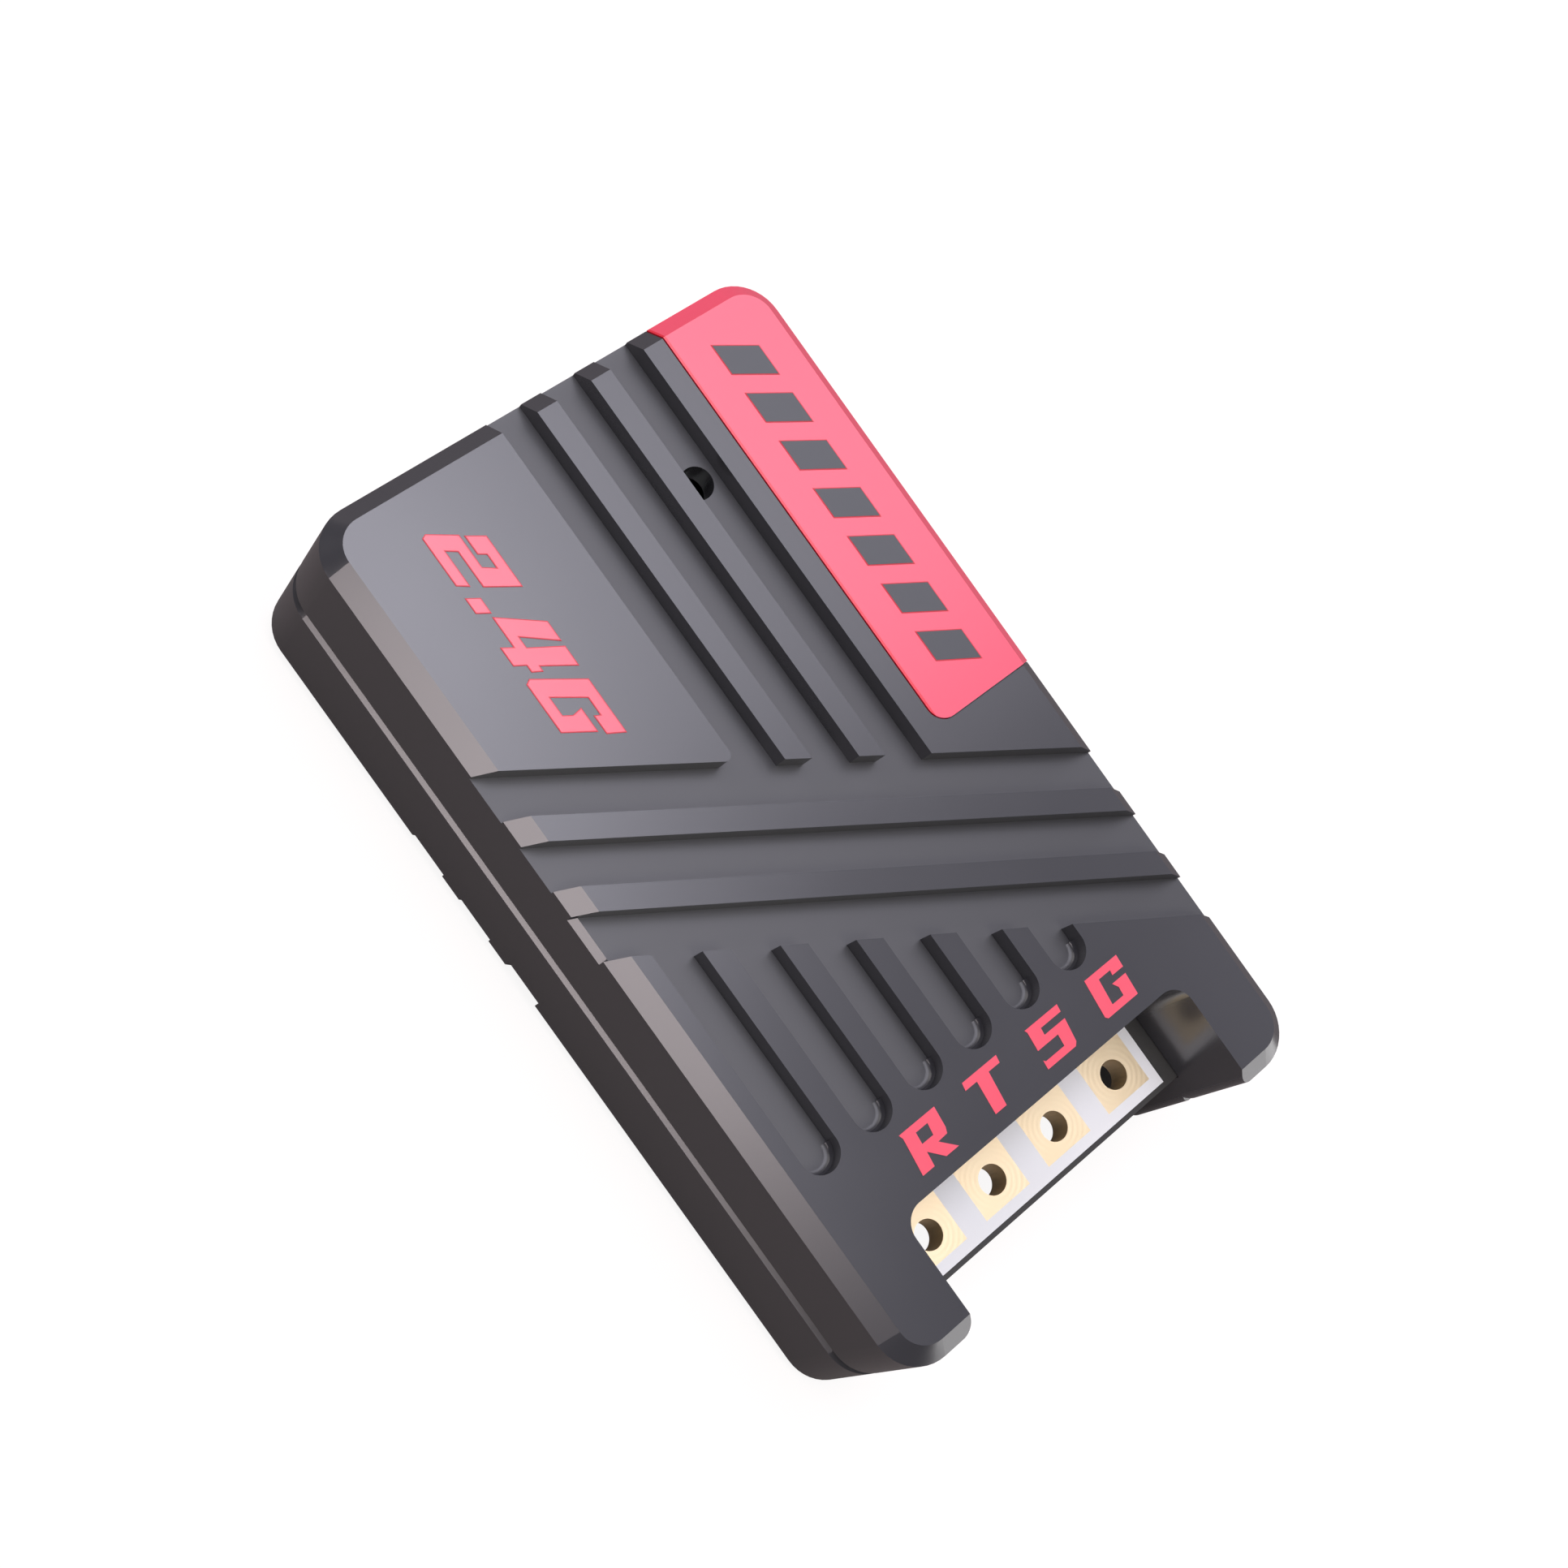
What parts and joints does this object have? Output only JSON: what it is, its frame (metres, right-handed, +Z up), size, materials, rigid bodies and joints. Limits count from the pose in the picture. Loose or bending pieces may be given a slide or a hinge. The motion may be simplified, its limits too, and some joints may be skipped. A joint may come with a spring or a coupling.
{
  "type": "rc receiver",
  "caption": "Flat moulded radio receiver case with slanted ribs, round-ended pockets, a red inlaid plate and a notch that bares a row of plated wire pads.",
  "frame": {"origin": "middle of the plan on the face the case lies on", "axes": "+Z up through the ribbed top face, +Y along the length away from the wire notch, +X towards the red plate"},
  "size_m": [0.0158, 0.0268, 0.007],
  "materials": {
    "case_plastic": "fine moulded texture",
    "accent_plastic": "satin",
    "board_laminate": "matt",
    "white_coating": "satin",
    "plated_gold": "gold plated, satin",
    "chip_epoxy": "matt",
    "metal_can": "brushed",
    "tinned_lead": "tinned",
    "capacitor_resin": "satin",
    "light_lens": "clear resin over a light",
    "antenna_ceramic": "fired",
    "capacitor_ceramic": "fired",
    "resistor_black": "glazed",
    "choke_ferrite": "fired"
  },
  "bodies": {
    "root": {"upper_shell": "case_plastic", "lower_shell": "case_plastic", "accent_plate": "accent_plastic", "circuit_board": "board_laminate", "legend_patch": "white_coating", "pad_receive": "plated_gold", "pad_transmit": "plated_gold", "pad_supply": "plated_gold", "pad_ground": "plated_gold", "controller_chip": "chip_epoxy", "radio_chip": "chip_epoxy", "amplifier_chip": "chip_epoxy", "voltage_regulator": "chip_epoxy", "controller_crystal": "metal_can", "radio_oscillator": "metal_can", "regulator_leads": "tinned_lead", "supply_capacitor": "capacitor_resin", "status_led": "light_lens", "chip_antenna": "antenna_ceramic", "band_filter": "antenna_ceramic", "decoupling_capacitors": "capacitor_ceramic", "signal_resistors": "resistor_black", "choke_inductors": "choke_ferrite"}
  },
  "joints": []
}
